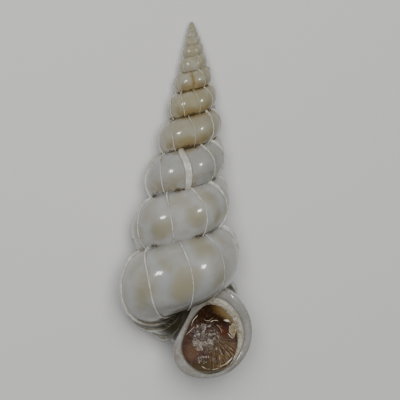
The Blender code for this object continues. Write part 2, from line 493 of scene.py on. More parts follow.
def unit_grid(net, columns, rows):
    """A flat grid one metre wide either way, with its X and Y, which go from -0.5 to 0.5."""
    inputs = {"Size X": 1.0, "Size Y": 1.0, "Vertices X": columns + 1, "Vertices Y": rows + 1}
    grid = net.add("GeometryNodeMeshGrid", None, inputs, "Mesh")
    here = net.add("GeometryNodeInputPosition")
    x = net.add("ShaderNodeSeparateXYZ", None, {"Vector": here}, "X")
    return grid, x, x.also("Y")


def whorl_tree():
    net, _, sizes = start_tree("whorls", WHORL_SIZES)
    grid, x, y = unit_grid(net, round(WHORL_SIZES["Turns"] * COLUMNS_PER_TURN), ROWS)
    grid = store(net, grid, "turns", (x + 0.5) * sizes["Turns"])
    grid = store(net, grid, "angle", y * math.tau)

    turns = recall(net, "turns")
    angle = recall(net, "angle")
    radius = spiral_radius(turns, sizes)
    bay = (turns + lean_turns(angle, RIB_LEAN)) / RIB_STEP
    swell = radius * (calc("ABSOLUTE", sine(bay * math.pi)) * BAY_SWELL - BAY_SWELL)
    tip_left = (sizes["Turns"] - turns) / TIP_CLOSING
    closing = 1.0 - at_least(0.0, 1.0 - tip_left) ** 2.0
    raised = swell - radius * TUBE_HALF_WIDTH * (1.0 - calc("SQRT", at_least(0.0, closing)))
    across, height = section_point(turns, angle, raised - pressed_in(turns, angle), sizes)
    moved = move_to(net, grid, place_wire(net, turns, across, height, sizes))

    gaps = [1.0 - (turns > 1.0)]
    for lap in (-1.0, 1.0):
        other = turns + lap
        other_radius = spiral_radius(other, sizes)
        out = (across - other_radius * (1.0 - TUBE_HALF_WIDTH)) / (other_radius * TUBE_HALF_WIDTH)
        rise = TUBE_RISE if lap < 0 else TUBE_FALL
        up = (height + spiral_depth(other, sizes)) / (other_radius * rise)
        gaps.append(calc("ABSOLUTE", calc("SQRT", out * out + up * up) - 1.0) * TUBE_HALF_WIDTH)
    seam = calc("MINIMUM", gaps[0] + gaps[1], gaps[2])
    marked = store(net, moved, "seam", seam)
    marked = store(net, marked, "across", calc("ABSOLUTE", across))
    end_tree(net, weld(net, marked), shell_material())
    return net


whorls = add_piece("whorls", grow(whorl_tree(), WHORL_SIZES), "shell")


# The ribs: thin blades of denser white lime that ring the tube. Each was the edge of the mouth
# for a while, so they lean as the growth lines do, and one thick rib marks a longer rest.
RIB_SIZES = SHELL_SIZES | {"Rib height": 0.20 * MM, "Rib half width": 0.072 * MM}
RIB_THINNING = 0.92
RIB_STATIONS = 80
RIB_SIDES = 8
RIB_SINK = 0.45
RIB_FLARE = 1.1
FIRST_RIB = 1
LAST_RIB = 106
THICK_RIB = 24
THICK_RIB_WIDTH = 10.0
THICK_RIB_HEIGHT = 1.5
THICK_RIB_FLARE = 0.15
RIB_DRIFT = 5.0
RIB_LEAN_DRIFT = 10.0
RIB_SWING = 0.0025
RIB_PATCHES = 900.0
RIB_SPECKS = 3800.0
RIB_WHITE = (0.52, 0.515, 0.49, 1.0)
RIB_CREAM = (0.36, 0.33, 0.26, 1.0)
RIB_OLD = (0.36, 0.34, 0.27, 1.0)
RIB_STAINED_TURNS = ((3.6, 4.4), (6.2, 7.0))
RIB_CHINK_REACH = (1.4 * MM, 3.2 * MM)
RIB_MARKS = ("rib_turns", "rib_lean", "rib_width", "rib_height", "rib_flare", "rib_base")
RIBS_WIDE_AT_BASE = {3: 1.5, 4: 1.7, 5: 0.7}
BASE_BEARING = -1.75
BASE_REACH = 1.1
# How far round the base the ribs' painted shade reaches.
BASE_SHADE_REACH = 1.3
RIB_SHOULDER = (1.2, 0.8)
STRONG_AND_FAINT_RIBS = {1: 1.8, 4: 0.7, 5: 0.7, 8: 0.22, 14: 0.5, 32: 0.8}
RIB_FADE = 0.2
RIB_SHIFTS = {
    5: (-9.0, 17.0), 6: (-6.2, 29.3), 7: (-6.3, 19.0), 8: (-11.6, 13.0), 13: (-2.0, 25.0),
    14: (-8.0, 25.0), 15: (1.5, 24.0), 16: (2.8, 25.9), 23: (6.0, 34.0), 24: (6.8, 27.6),
    25: (9.5, 26.0), 32: (0.7, 45.0), 33: (2.0, 25.0), 34: (-0.5, 9.6),
    50: (RUSTY_RIB_SHIFT, RUSTY_RIB_LEAN), 51: (12.0, 25.0),
}


def mark(mesh, name, values):
    mesh.attributes.new(name, "FLOAT", "POINT").data.foreach_set("value", values)


def rib_marks():
    """One point for each rib, with its place on the spiral, its lean, its width and its height."""
    ribs = range(FIRST_RIB, LAST_RIB)
    mesh = bpy.data.meshes.new("rib_marks")
    mesh.from_pydata([Vector()] * len(ribs), [], [])
    marks = []
    for rib in ribs:
        drift = noise.noise(Vector((rib * 1.7, 0.3, 0.6)))
        shift, lean = RIB_SHIFTS.get(rib, (drift * RIB_DRIFT, RIB_LEAN + drift * RIB_LEAN_DRIFT))
        strength = STRONG_AND_FAINT_RIBS.get(rib, 1.0 + 0.4 * drift)
        width, height, flare = strength ** 0.7, strength, 1.0 + drift
        if rib == THICK_RIB:
            width, height, flare = THICK_RIB_WIDTH, THICK_RIB_HEIGHT, THICK_RIB_FLARE
        base = RIBS_WIDE_AT_BASE.get(rib, 0.0)
        marks.append((rib * RIB_STEP + shift / 360.0, lean, width, height, flare, base))
    for name, values in zip(RIB_MARKS, zip(*marks)):
        mark(mesh, name, values)
    return mesh


def rib_material():
    material, net, shader = new_material("rib_lime")
    turns = attribute(net, "rib_turns")
    patches = noise_wire(net, RIB_PATCHES, 4.0)
    specks = noise_wire(net, RIB_SPECKS, 4.0, 0.6)
    stained = between(patches, 0.48, 0.60)
    rusty = near(turns, RUSTY_RIB, 0.03) * between(patches, 0.3, 0.5)
    # Painted shade: rib flanks behind the lip and near the base are darkened, with some mud where they
    # are stained.
    flank = outside(sine(attribute(net, "round")), 0.30, 0.80)
    below = near(attribute(net, "along"), BASE_BEARING, BASE_SHADE_REACH) * outside(turns, 0.8, 1.2)
    shaded_flank = calc("MAXIMUM", outside(turns, 0.13, 0.18), below) * flank
    # Ribs that run into the chink get the same painted shade and dirt.
    chink = outside(attribute(net, "across"), *RIB_CHINK_REACH) * outside(turns, *CHINK_TURNS)
    paint(net, shader, patches * 0.25 + 0.12, RIB_WHITE, [
        (between(patches, 0.35, 0.7), RIB_CREAM),
        (between(turns, 1.5, 4.5) * 0.7, RIB_OLD),
        (stained * over_turns(turns, *RIB_STAINED_TURNS) * 0.35, RUST),
        (rusty, RUST),
        (shaded_flank * 0.8, UNDERSIDE_SHADE),
        (shaded_flank * stained * 0.5, MUD),
        (between(specks, 0.60, 0.70) * 0.7, MUD),
        (chink * 0.8, CHINK_SHADE_AND_DIRT),
    ])
    glow_through(shader, 0.15, 0.4 * MM)
    emboss(net, shader, 0.5, 0.04 * MM, specks)
    return material


def rib_tree():
    net, start, sizes = start_tree("ribs", RIB_SIZES)
    blade, x, y = unit_grid(net, RIB_STATIONS, RIB_SIDES)
    blade = store(net, blade, "along", x * math.tau)
    blade = store(net, blade, "round", y * math.tau)
    placed = net.add("GeometryNodeInstanceOnPoints", None, {"Points": start, "Instance": blade})
    real = net.add("GeometryNodeRealizeInstances", None, {"Geometry": placed})

    angle = recall(net, "along")
    side = recall(net, "round")
    rib = recall(net, "rib_turns")
    radius = spiral_radius(rib, sizes)
    thinning = (radius / sizes["Mouth radius"]) ** RIB_THINNING
    around = {"X": cosine(angle), "Y": sine(angle), "Z": rib * 9.0}
    around = net.add("ShaderNodeCombineXYZ", None, around)
    uneven = (noise_wire(net, 5.0, 3.0, place_of=around) - 0.5) * recall(net, "rib_flare")
    flare = near(angle, *RIB_SHOULDER) * recall(net, "rib_flare") * RIB_FLARE + 1.0
    base = near(angle, BASE_BEARING, BASE_REACH) * recall(net, "rib_base")
    bold = thinning * flare * (uneven + 1.0)
    half_width = sizes["Rib half width"] * recall(net, "rib_width") * bold * (base * 0.25 + 1.0)
    shown = between(cosine(angle), -0.75, -0.25) * (1.0 - RIB_FADE) + RIB_FADE
    crest = sizes["Rib height"] * recall(net, "rib_height") * bold * shown * (base + 1.0)
    raised = crest * (sine(side) * (0.5 + RIB_SINK / 2) + (0.5 - RIB_SINK / 2))
    lean = lean_turns(angle, recall(net, "rib_lean"))
    turns = rib - lean + cosine(side) * half_width / (radius * math.tau) + uneven * RIB_SWING
    across, height = section_point(turns, angle, raised - pressed_in(turns, angle), sizes)
    moved = move_to(net, real, place_wire(net, turns, across, height, sizes))
    marked = store(net, moved, "across", calc("ABSOLUTE", across))
    end_tree(net, weld(net, marked), rib_material())
    return net


ribs = add_piece("ribs", grow(rib_tree(), RIB_SIZES, rib_marks()))


# The lip: the thick rounded collar at the end of the tube, of the same white lime. It spreads
# out over the tube, rolls forward and goes in again to a stepped inner edge and the throat.
LIP_STATIONS = 320
LIP_STEPS = 5
LIP_OUTSIDE = [(0.00, -1.60), (0.12, -1.10), (0.34, -0.66), (0.74, -0.36), (1.00, -0.06), (0.92, 0.20)]
LIP_THROAT = [(-1.00, -0.30), (-1.04, -0.70), (-1.12, -1.30), (-1.22, -2.20)]
LIP_PROFILE_RIGHT = LIP_OUTSIDE + [
    (0.50, 0.37), (0.00, 0.45), (-0.18, 0.44), (-0.34, 0.36), (-0.43, 0.18), (-0.48, 0.08),
    (-0.58, 0.15), (-0.70, 0.12), (-0.82, 0.02), (-0.92, -0.12),
] + LIP_THROAT
LIP_PROFILE_LEFT = LIP_OUTSIDE + [
    (0.50, 0.36), (0.00, 0.45), (-0.15, 0.47), (-0.30, 0.48), (-0.44, 0.47), (-0.57, 0.44),
    (-0.68, 0.38), (-0.78, 0.28), (-0.87, 0.13), (-0.95, -0.06),
] + LIP_THROAT
BAND_MIDDLE = math.radians(25.0)
BAND_START = 0.5
BAND_SHADE = (0.42, 0.60)
JOINED_BEARING = math.radians(92.0)
JOINED_POWER = 10
EDGE_WAVE = 0.06
FACE_ROUGHNESS = 0.035
LAYER_HEIGHT = 0.030
LAYER_CROWDING = 42.0
LIP_PATCHES = 520.0
LIP_FLAKES = 2100.0
LIP_CRUMBS = 5200.0
LIP_WHITE = (0.265, 0.258, 0.238, 1.0)
LIP_GREY = (0.205, 0.190, 0.160, 1.0)
LIP_FLAKE = (0.36, 0.35, 0.325, 1.0)
BAND_CREAM = (0.42, 0.39, 0.31, 1.0)
BAND_TAN = (0.22, 0.178, 0.105, 1.0)
THROAT_TAN = (0.27, 0.215, 0.125, 1.0)
CRUMB_WHITE = (0.62, 0.60, 0.54, 1.0)
LIP_DIRT = (0.060, 0.042, 0.018, 1.0)
LIP_SPECK = (0.12, 0.10, 0.06, 1.0)
LIP_INSETS = [1.36, 1.76, 1.74, 1.58, 1.04, 0.57, 0.58, 0.54, 0.38, 0.04, 0.10, 0.86]
LIP_SPREADS = [0.23, 0.24, 0.30, 0.18, 0.03, 0.05, 0.22, 0.56, 0.66, 0.54, 0.54, 0.38]


def smooth_share(before, start, end, after, share):
    """A point of the smooth curve through four knots, between the middle two."""
    pull = (end - before) * share + (2 * before - 5 * start + 4 * end - after) * share ** 2
    pull += (3 * start - before - 3 * end + after) * share ** 3
    return start + pull / 2


def round_mouth(values, angle):
    """A size that changes round the mouth, given at even bearings from the right-hand side."""
    step = (angle / math.tau % 1.0) * len(values)
    here = int(step)
    before, start, end, after = (values[(here + shift) % len(values)] for shift in (-1, 0, 1, 2))
    return smooth_share(before, start, end, after, step - here)


def lip_inset(angle):
    """How far the lip reaches in: the most at the right and top, the least at the bottom."""
    return round_mouth(LIP_INSETS, angle) * MM


def lip_spread(angle):
    """How far the lip stands out from the tube, with the uneven edge of a grown thing."""
    uneven = noise.noise(Vector((math.cos(angle) * 1.6, math.sin(angle) * 1.6, 4.0)))
    return (round_mouth(LIP_SPREADS, angle) + EDGE_WAVE * uneven) * MM


def mouth_point(angle, raised, forward):
    """A point by the mouth's rim: raised out of the tube, and forward along the way of growth."""
    lean = lean_turns(angle, LIP_LEAN)
    across, height = section_point(0.0, angle, raised - pressed_in(0.0, angle), SHELL_SIZES)
    azimuth = azimuth_at(-lean)
    ahead = Vector((-math.cos(azimuth), -math.sin(azimuth), 0.0))
    return place(-lean, across, height) + ahead * forward


def curve_through(knots, steps):
    """A smooth curve through the knots, with that many steps between every two."""
    knots = [Vector(knot) for knot in knots]
    points = []
    for index in range(len(knots) - 1):
        before = knots[max(index - 1, 0)]
        start, end = knots[index], knots[index + 1]
        after = knots[min(index + 2, len(knots) - 1)]
        for step in range(steps):
            points.append(smooth_share(before, start, end, after, step / steps))
    points.append(knots[-1])
    return points


def skin(work, loops, closed_ends=()):
    """Skin a list of equal closed loops of points, and close the ends that are asked for."""
    count = len(loops[0])
    rows = [[work.verts.new(point) for point in loop] for loop in loops]
    for here, there in zip(rows, rows[1:]):
        for side in range(count):
            other = (side + 1) % count
            work.faces.new((here[side], here[other], there[other], there[side]))
    for end in closed_ends:
        work.faces.new(rows[end])
    return rows


def finished(work, name):
    """A smooth mesh of the skins, all facing outwards."""
    bmesh.ops.recalc_face_normals(work, faces=work.faces)
    for face in work.faces:
        face.smooth = True
    mesh = bpy.data.meshes.new(name)
    work.to_mesh(mesh)
    work.free()
    return mesh


def lip_material():
    material, net, shader = new_material("lip_lime")
    inner = attribute(net, "inner")
    patches = noise_wire(net, LIP_PATCHES, 4.0)
    flakes = noise_wire(net, LIP_FLAKES, 5.0, 0.7)
    crumbs = noise_wire(net, LIP_CRUMBS, 4.0, 0.7)
    band = between(inner, *BAND_SHADE)
    dirt = attribute(net, "joined") * between(flakes * 0.5 + crumbs * 0.5, 0.44, 0.54)
    paint(net, shader, flakes * (0.3 - band * 0.15) + 0.10, LIP_WHITE, [
        (between(patches, 0.35, 0.65), LIP_GREY),
        (between(flakes, 0.5, 0.68) * 0.5, LIP_FLAKE),
        (band * 0.8, BAND_CREAM),
        (band * between(flakes, 0.46, 0.60) * 0.85, BAND_TAN),
        (between(inner, 0.80, 1.0) * 0.6, THROAT_TAN),
        (band * between(crumbs, 0.56, 0.66), CRUMB_WHITE),
        (dirt, LIP_DIRT),
        (between(crumbs, 0.62, 0.72) * (1.0 - band) * 0.5, LIP_SPECK),
    ])
    net.feed(shader.inputs["Coat Weight"], 0.9 - band * 0.35)
    shader.inputs["Coat Roughness"].default_value = 0.06
    glow_through(shader, 0.15, 0.5 * MM)
    emboss(net, shader, 0.55, 0.07 * MM, flakes + crumbs * (band * 1.2 + 0.15))
    return material


def make_lip():
    right_profile = curve_through(LIP_PROFILE_RIGHT, LIP_STEPS)
    left_profile = curve_through(LIP_PROFILE_LEFT, LIP_STEPS)
    angles = [math.tau * station / LIP_STATIONS for station in range(LIP_STATIONS)]
    loops = []
    inner = []
    joined = []
    for row, (right, left) in enumerate(zip(right_profile, left_profile)):
        loop = []
        for angle in angles:
            banded = 0.5 + 0.5 * math.cos(angle - BAND_MIDDLE)
            banded = banded * banded * (3.0 - 2.0 * banded)
            across, forward = left.lerp(right, banded)
            reach = lip_spread(angle) if across > 0 else lip_inset(angle)
            around = Vector((math.cos(angle) * 3.4, math.sin(angle) * 3.4, row * 0.11))
            rough = noise.fractal(around, 0.7, 2.0, 4) * FACE_ROUGHNESS
            if -1.0 <= across < -BAND_START:
                wander = 3.0 * noise.noise(around * 0.6) + 5.0 * noise.noise(around * 0.25)
                layers = math.sin(across * LAYER_CROWDING + wander)
                rough += LAYER_HEIGHT * (banded * layers + noise.noise(around * 3.0))
            loop.append(mouth_point(angle, across * reach, (forward + rough) * MM))
            inner.append(max(0.0, -across) * (0.52 + 0.48 * banded))
            facing = max(0.0, math.cos(angle - JOINED_BEARING)) ** JOINED_POWER
            joined.append(facing * min(1.0, max(0.0, 0.2 + across)))
        loops.append(loop)
    work = bmesh.new()
    skin(work, loops)
    mesh = finished(work, "lip")
    mark(mesh, "inner", inner)
    mark(mesh, "joined", joined)
    mesh.materials.append(lip_material())
    return mesh


lip = add_piece("lip", make_lip())


# The threads: fine pale fibres of old slime that cross the chink between the lip and the
# body, stuck to the lip at one end and to the ribs and the base at the other.
THREAD_WIDTH = 0.020 * MM
THREAD_SIDES = 5
THREAD_STEPS = 16
THREAD_SAG = (0.05, -0.12, 0.06)
THREAD_PATCHES = 3000.0
THREAD_PALE = (0.36, 0.34, 0.27, 1.0)
THREAD_TAN = (0.22, 0.19, 0.12, 1.0)
THREADS = [
    ((-1.75, -31.7), (-3.05, -30.9)), ((-2.00, -32.1), (-2.75, -30.7)), ((-2.25, -32.6), (-3.45, -32.4)),
    ((-2.40, -32.9), (-3.60, -31.8)), ((-1.90, -31.9), (-3.90, -32.9)),
]


def dried_slime(name, scale, detail, contrast, first, second):
    material, net, shader = new_material(name)
    patches = noise_wire(net, scale, detail)
    share = between(patches, 0.5 - contrast, 0.5 + contrast)
    paint(net, shader, patches * 0.4 + 0.2, first, [(share, second)])
    return material


def surface_of(mesh):
    points = [vertex.co for vertex in mesh.vertices]
    return BVHTree.FromPolygons(points, [face.vertices for face in mesh.polygons])


def make_threads():
    """Each thread hangs between two places on the shell's surface, as seen from the mouth side."""
    surfaces = [surface_of(piece.data) for piece in (whorls, ribs, lip)]
    towards = (LYING.to_3x3() @ Vector((0.0, 1.0, 0.0))).normalized()

    def first_touch(x, z):
        start = LYING @ Vector((x * MM, -20.0 * MM, z * MM))
        hits = [surface.ray_cast(start, towards) for surface in surfaces]
        hits = [hit for hit in hits if hit[0]]
        return LYING.inverted() @ min(hits, key=lambda hit: hit[3])[0]

    work = bmesh.new()
    for number, (start, end) in enumerate(THREADS):
        start, end = first_touch(*start), first_touch(*end)
        along = (end - start).normalized()
        side = along.cross(Vector((0.0, 1.0, 0.0))).normalized()
        other = along.cross(side)
        right, front, up = THREAD_SAG
        sag = Vector((right, front, up * (-1) ** number)) * MM
        turns = [math.tau * turn / THREAD_SIDES for turn in range(THREAD_SIDES)]
        circle = [side * math.cos(turn) + other * math.sin(turn) for turn in turns]
        loops = []
        for step in range(THREAD_STEPS + 1):
            share = step / THREAD_STEPS
            middle = start.lerp(end, share) + math.sin(math.pi * share) * sag
            width = THREAD_WIDTH * (1.3 - share)
            loops.append([middle + out * width for out in circle])
        skin(work, loops, (0, -1))
    mesh = finished(work, "threads")
    material = dried_slime("dried_thread", THREAD_PATCHES, 3.0, 0.10, THREAD_PALE, THREAD_TAN)
    mesh.materials.append(material)
    return mesh


threads = add_piece("threads", make_threads())


# The lid: a thin horny plate on the animal's foot, dried into the mouth. It is dark at the top,
# partly from painted shade, amber at the upper right, and frays into golden fibres towards the lower
# right.
LID_RINGS = 60
LID_STATIONS = 240
LID_FRONT = -0.30 * MM
LID_BACK = -0.62 * MM
LID_TUCK = 0.99
HEAP_HEIGHT = 0.22
RIDGE_HEIGHT = 0.035
RIDGE_CROWDING = 46.0
LID_BUCKLE = 0.09
FIBRES_FROM = (0.3, 0.2)
LID_PATCHES = 800.0
LID_GRAIN = 3600.0
HORN_BROWN = (0.055, 0.030, 0.018, 1.0)
HORN_PURPLE = (0.040, 0.020, 0.020, 1.0)
# Dark horn for the top of the lid, partly painted shade.
DARK_HORN_AND_SHADE = (0.022, 0.009, 0.004, 1.0)
AMBER_DEEP = (0.115, 0.066, 0.019, 1.0)
AMBER_PALE = (0.185, 0.132, 0.064, 1.0)
RED_BROWN = (0.075, 0.024, 0.013, 1.0)
PINK_BROWN = (0.105, 0.058, 0.036, 1.0)
OLIVE_BROWN = (0.058, 0.040, 0.018, 1.0)
FIBRE_GOLD = (0.14, 0.088, 0.036, 1.0)
FIBRE_PALE = (0.36, 0.285, 0.16, 1.0)
POWDER_GREY = (0.20, 0.18, 0.165, 1.0)
FLECK_TAN = (0.24, 0.19, 0.14, 1.0)
DARK_TOP = (0.0, 2.7, 3.0, 2.3)
RED_RIGHT = (1.3, 0.7, 0.9, 0.8)
PINK_LEFT = (-1.9, -1.5, 1.3, 1.3)
OLIVE_BOTTOM = (-0.4, -3.1, 2.2, 1.2)
FRAYED_PLACE = (1.3, -1.7, 2.3, 2.3)
PALE_FIBRES = (1.6, -1.9, 1.5, 1.6)
POWDERED_PLACE = (-0.55, 0.15, 1.8, 2.1)


def lid_middle():
    bearings = (math.pi, 0.0, math.pi / 2, -math.pi / 2)
    left, right, top, bottom = (mouth_point(angle, -lip_inset(angle), LID_FRONT) for angle in bearings)
    return Vector(((left.x + right.x) / 2, (left.y + right.y) / 2, (top.z + bottom.z) / 2))


def lid_relief(x, z):
    """How far the lid's face stands forward, in millimetres, right of and above its middle."""
    spot_here = Vector((x, z, 0.0))
    crusted = max(0.0, 1.0 - ((x + 0.7) / 1.9) ** 2 - ((z - 0.1) / 1.9) ** 2)
    lumps = HEAP_HEIGHT * crusted * (0.5 + noise.fractal(spot_here * 2.6, 0.8, 2.0, 4))
    bearing = math.atan2(z - FIBRES_FROM[1], x - FIBRES_FROM[0])
    far = math.hypot(x - FIBRES_FROM[0], z - FIBRES_FROM[1])
    frayed = max(0.0, math.cos(bearing + 0.9)) * min(1.0, far)
    wander = 3.0 * noise.noise(spot_here * 1.5)
    ridges = RIDGE_HEIGHT * frayed * math.sin(bearing * RIDGE_CROWDING + wander)
    return lumps + ridges + LID_BUCKLE * noise.fractal(spot_here * 0.9, 0.7, 2.0, 4)


def lid_material():
    material, net, shader = new_material("dry_horn")
    x = attribute(net, "lid_x")
    z = attribute(net, "lid_z")
    patches = noise_wire(net, LID_PATCHES, 5.0, 0.6)
    fine = noise_wire(net, LID_GRAIN, 5.0, 0.7)
    shift = (patches - 0.5) * 1.6
    rimward = x * 0.63 + z * 0.78 + shift * 0.25
    deep_strip = between(rimward, 2.25, 3.0) * between(x, -0.5, 1.1)
    pale_strip = between(rimward, 2.5, 3.1) * between(x + shift * 0.3, 0.2, 2.2)
    bearing = calc("ARCTAN2", z - FIBRES_FROM[1], x - FIBRES_FROM[0])
    weave = {"X": bearing * 16.0, "Y": calc("SQRT", x * x + z * z) * 0.7}
    weave = net.add("ShaderNodeCombineXYZ", None, weave)
    strands = noise_wire(net, 1.0, 5.0, 0.6, weave)
    frayed = spot(x + shift * 0.4, z, *FRAYED_PLACE)
    pale_end = spot(x, z, *PALE_FIBRES) * 0.5 + 0.45
    powder = spot(x + shift * 0.5, z - shift * 0.5, *POWDERED_PLACE) * between(fine, 0.46, 0.58)
    paint(net, shader, patches * 0.3 + 0.16 + powder * 0.4, HORN_BROWN, [
        (between(patches, 0.4, 0.62), HORN_PURPLE),
        # The darkening at the top is partly painted shade under the top of the mouth.
        (spot(x, z + shift, *DARK_TOP), DARK_HORN_AND_SHADE),
        (deep_strip * (fine * 0.8 + 0.5), AMBER_DEEP),
        (pale_strip, AMBER_PALE),
        (spot(x, z + shift, *RED_RIGHT) * 0.9, RED_BROWN),
        (spot(x + shift, z, *PINK_LEFT) * 0.9, PINK_BROWN),
        (spot(x, z + shift, *OLIVE_BOTTOM), OLIVE_BROWN),
        (frayed * between(strands, 0.42, 0.60) * 0.9, FIBRE_GOLD),
        (frayed * between(strands, 0.56, 0.68) * pale_end, FIBRE_PALE),
        (powder * 0.35, POWDER_GREY),
        (between(fine, 0.58, 0.68) * 0.5, FLECK_TAN),
    ])
    emboss(net, shader, 0.6, 0.08 * MM, fine + strands * frayed * 2.0)
    return material


def make_lid():
    middle = lid_middle()
    angles = [math.tau * station / LID_STATIONS for station in range(LID_STATIONS)]
    rims = [mouth_point(angle, -lip_inset(angle) * LID_TUCK, LID_FRONT) for angle in angles]
    loops = [[mouth_point(angle, -lip_inset(angle) * LID_TUCK, LID_BACK) for angle in angles], rims]
    for ring in range(LID_RINGS - 1, 0, -1):
        loop = []
        for rim in rims:
            point = middle.lerp(rim, ring / LID_RINGS)
            held = 1.0 - (ring / LID_RINGS) ** 8
            relief = lid_relief((point.x - middle.x) / MM, (point.z - middle.z) / MM)
            point.y -= relief * held * MM
            loop.append(point)
        loops.append(loop)
    work = bmesh.new()
    skin(work, loops, (0, -1))
    mesh = finished(work, "lid")
    for name, axis in (("lid_x", 0), ("lid_z", 2)):
        mark(mesh, name, [(vertex.co[axis] - middle[axis]) / MM for vertex in mesh.vertices])
    mesh.materials.append(lid_material())
    return mesh


lid_mesh = make_lid()
lid_ground = lid_mesh.copy()
lid = add_piece("lid", lid_mesh, "operculum")


# The crust: grains of salt and dried slime that stuck to the middle of the lid. They lie in a
# loose heap, grey-white and sharp, with stray ones lower down.
CRUST_SIZES = {"Grain size": 0.080 * MM, "Grains in a square metre": 1.7e8, "Least gap": 0.046 * MM}
CRUST_SEED = 7
GRAIN_SHAPES = ((0.35, 0.35, 0.35), (1.1, 1.1, 1.1))
GRAIN_DENTS = 11000.0
DENT_DEPTH = 1.3
CRUST_PATCHES = 1900.0
CRUST_DULL = (0.15, 0.128, 0.110, 1.0)
CRUST_PALE = (0.36, 0.328, 0.272, 1.0)
CRUST_PLACES = [
    (-0.75, 0.95, 1.2, 0.70, 1.3), (-1.2, -0.50, 0.9, 0.9, 1.2), (0.10, 0.05, 0.80, 1.0, 0.9),
    (-0.2, -0.9, 0.9, 0.7, 0.7), (-1.6, 0.55, 0.6, 0.5, 0.7), (-0.8, -2.35, 0.8, 0.50, 0.8),
]


def random_vector(net, low, high, seed):
    settings = {"data_type": "FLOAT_VECTOR"}
    return net.add("FunctionNodeRandomValue", settings, {"Min": low, "Max": high, "Seed": seed}, "Value")


def scaled(net, vector, size):
    return net.add("ShaderNodeVectorMath", {"operation": "SCALE"}, {"Vector": vector, "Scale": size})


def crust_tree():
    net, start, sizes = start_tree("crust", CRUST_SIZES)
    grain_size = sizes["Grain size"]
    inputs = {
        "Mesh": start, "Seed": CRUST_SEED, "Density Factor": recall(net, "crust"),
        "Density Max": sizes["Grains in a square metre"], "Distance Min": sizes["Least gap"],
    }
    settings = {"distribute_method": "POISSON"}
    points = net.add("GeometryNodeDistributePointsOnFaces", settings, inputs, "Points")
    grain = net.add("GeometryNodeMeshIcoSphere", None, {"Radius": 1.0, "Subdivisions": 1}, "Mesh")
    turn = random_vector(net, (0.0, 0.0, 0.0), (math.tau, math.tau, math.tau), CRUST_SEED)
    scale = scaled(net, random_vector(net, *GRAIN_SHAPES, CRUST_SEED + 1), grain_size)
    inputs = {"Points": points, "Instance": grain, "Rotation": turn, "Scale": scale}
    placed = net.add("GeometryNodeInstanceOnPoints", None, inputs)
    real = net.add("GeometryNodeRealizeInstances", None, {"Geometry": placed})
    here = net.add("GeometryNodeInputPosition")
    inputs = {"Vector": here, "Scale": GRAIN_DENTS, "Detail": 1.0}
    dents = net.add("ShaderNodeTexNoise", None, inputs, "Color")
    centred = net.add("ShaderNodeVectorMath", {"operation": "SUBTRACT"}, {0: dents, 1: (0.5, 0.5, 0.5)})
    dent = scaled(net, centred, grain_size * DENT_DEPTH)
    rough = net.add("GeometryNodeSetPosition", None, {"Geometry": real, "Offset": dent})
    end_tree(net, rough, dried_slime("dried_crust", CRUST_PATCHES, 4.0, 0.08, CRUST_DULL, CRUST_PALE))
    return net


def make_crust():
    """The lid's face, marked with how thickly the grains lie on it."""
    x = [value.value for value in lid_ground.attributes["lid_x"].data]
    z = [value.value for value in lid_ground.attributes["lid_z"].data]
    cover = []
    for here_x, here_z in zip(x, z):
        thick = 0.0
        for at_x, at_z, half_width, half_height, share in CRUST_PLACES:
            far = ((here_x - at_x) / half_width) ** 2 + ((here_z - at_z) / half_height) ** 2
            thick = max(thick, share * max(0.0, 1.0 - far))
        clumps = 0.48 + 3.2 * noise.fractal(Vector((here_x, here_z, 2.0)) * 2.8, 0.7, 2.0, 4)
        cover.append(max(0.0, min(1.0, thick * 2.0 * clumps)))
    mark(lid_ground, "crust", cover)
    return grow(crust_tree(), CRUST_SIZES, lid_ground)


crust = add_piece("crust", make_crust())


